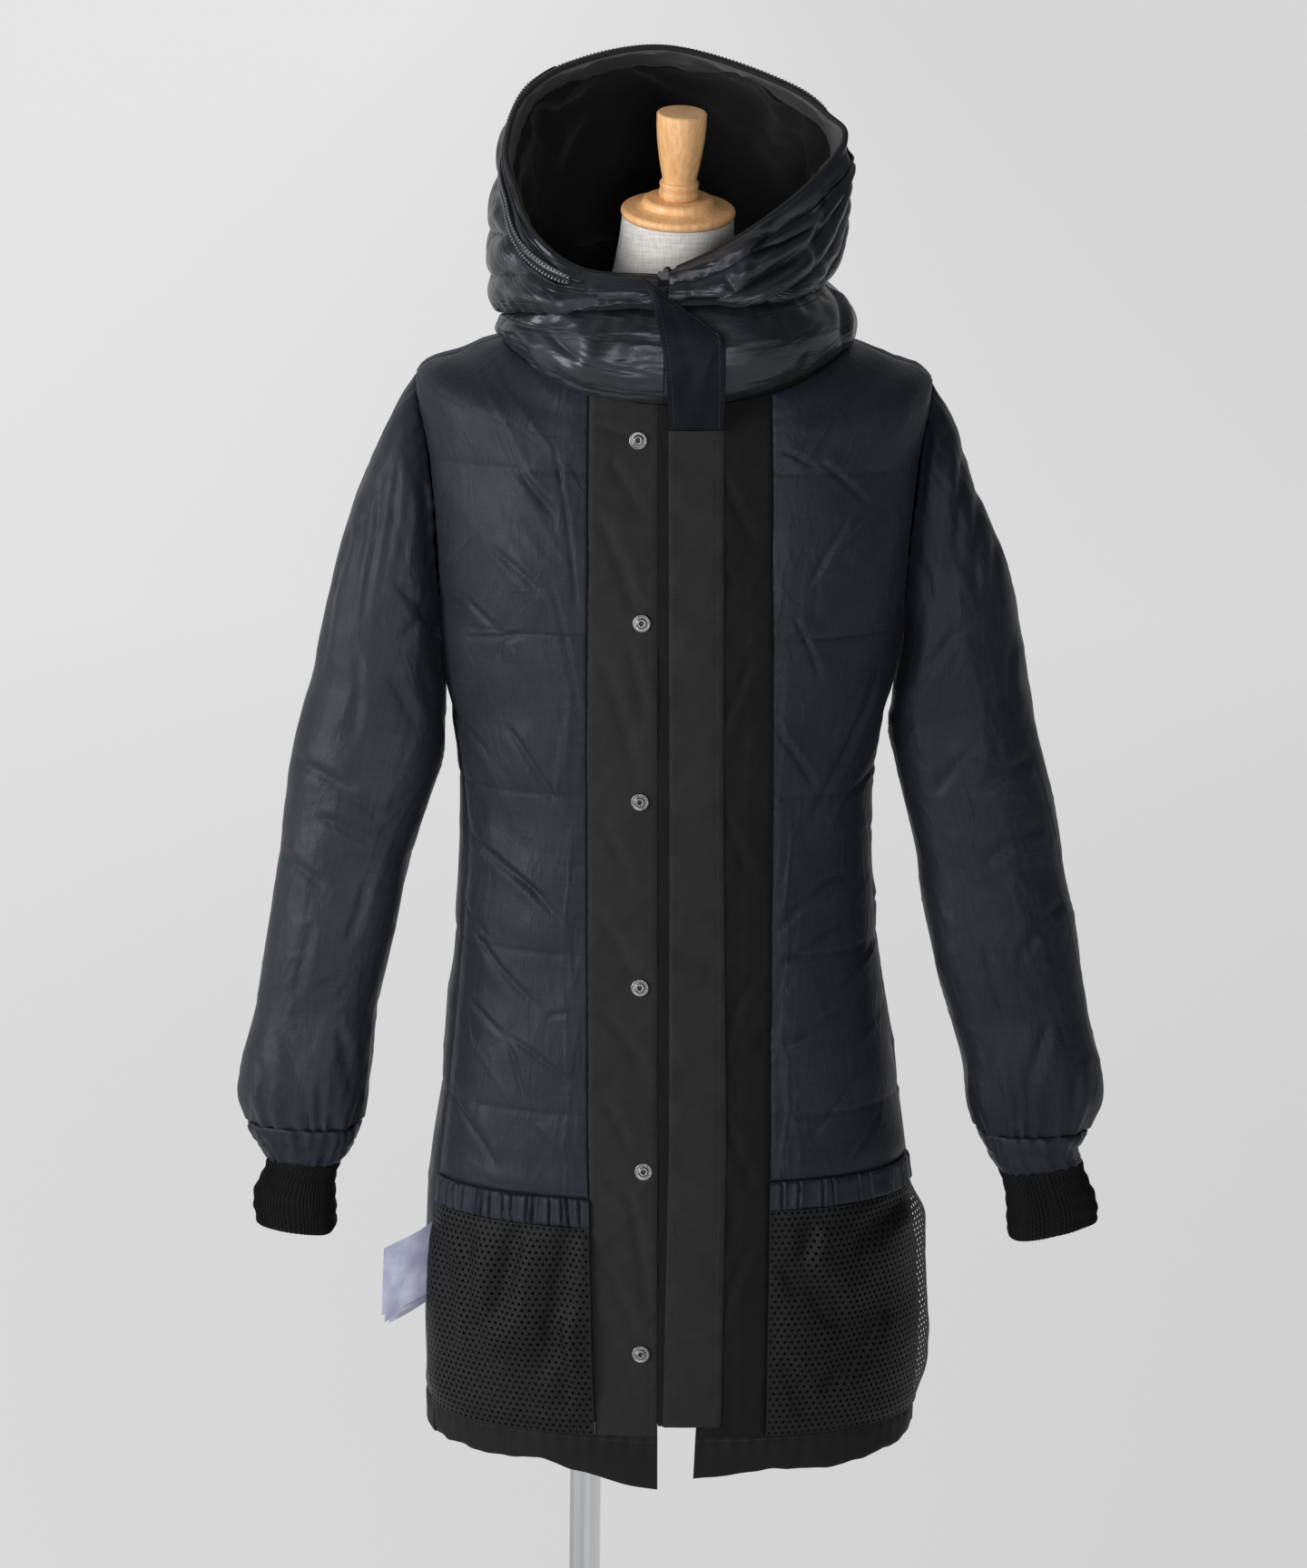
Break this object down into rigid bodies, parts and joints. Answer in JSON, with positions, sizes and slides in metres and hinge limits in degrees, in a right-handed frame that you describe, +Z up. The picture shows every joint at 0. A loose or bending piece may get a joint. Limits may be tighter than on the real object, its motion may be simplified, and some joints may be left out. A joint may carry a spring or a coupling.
{
  "type": "parka on a dress form",
  "caption": "Hooded down parka, zipped up and worn inside out, with net pockets and rib cuffs, on a limbless dress form with a wooden neck cap, a chrome pole and a round base.",
  "frame": {"origin": "on the floor, at the axis of the stand's pole, in the middle of the base's underside", "axes": "+Z up along the pole; the parka faces -Y; +X to the wearer's left"},
  "size_m": [0.7322, 0.38, 1.6031],
  "materials": {
    "navy_lining": "satin",
    "black_twill": "matte",
    "shiny_nylon": "glossy",
    "hood_cloth": "matte",
    "rib_knit": "matte",
    "pocket_net": "matte",
    "zip_plastic": "glossy",
    "label_cloth": "satin",
    "snap_metal": "antique silver",
    "linen": "matte",
    "turned_wood": "satin lacquer",
    "chrome": "polished"
  },
  "bodies": {
    "root": {"back_panel": "navy_lining", "front_right": "navy_lining", "front_left": "navy_lining", "lower_front_right": "black_twill", "lower_front_left": "black_twill", "facing_right": "black_twill", "facing_left": "black_twill", "zip_tape": "black_twill", "zip_flap": "black_twill", "zip_flap_top": "navy_lining", "hem_right": "black_twill", "hem_left": "black_twill", "hem_back": "black_twill", "pocket_net_right": "pocket_net", "pocket_net_left": "pocket_net", "pocket_band_right": "navy_lining", "pocket_band_left": "navy_lining", "sleeve_right": "navy_lining", "sleeve_left": "navy_lining", "sleeve_band_right": "navy_lining", "sleeve_band_left": "navy_lining", "rib_cuff_right": "rib_knit", "rib_cuff_left": "rib_knit", "collar": "shiny_nylon", "hood_outer": "shiny_nylon", "hood_lining": "hood_cloth", "hood_facing": "black_twill", "hood_zip_tape": "zip_plastic", "zip_slider": "zip_plastic", "snap_1": "snap_metal", "snap_2": "snap_metal", "snap_3": "snap_metal", "snap_4": "snap_metal", "snap_5": "snap_metal", "snap_6": "snap_metal", "care_label": "label_cloth", "form_torso": "linen", "form_cap": "turned_wood", "form_knob": "turned_wood", "stand_pole": "chrome", "stand_base": "chrome"}
  },
  "joints": []
}
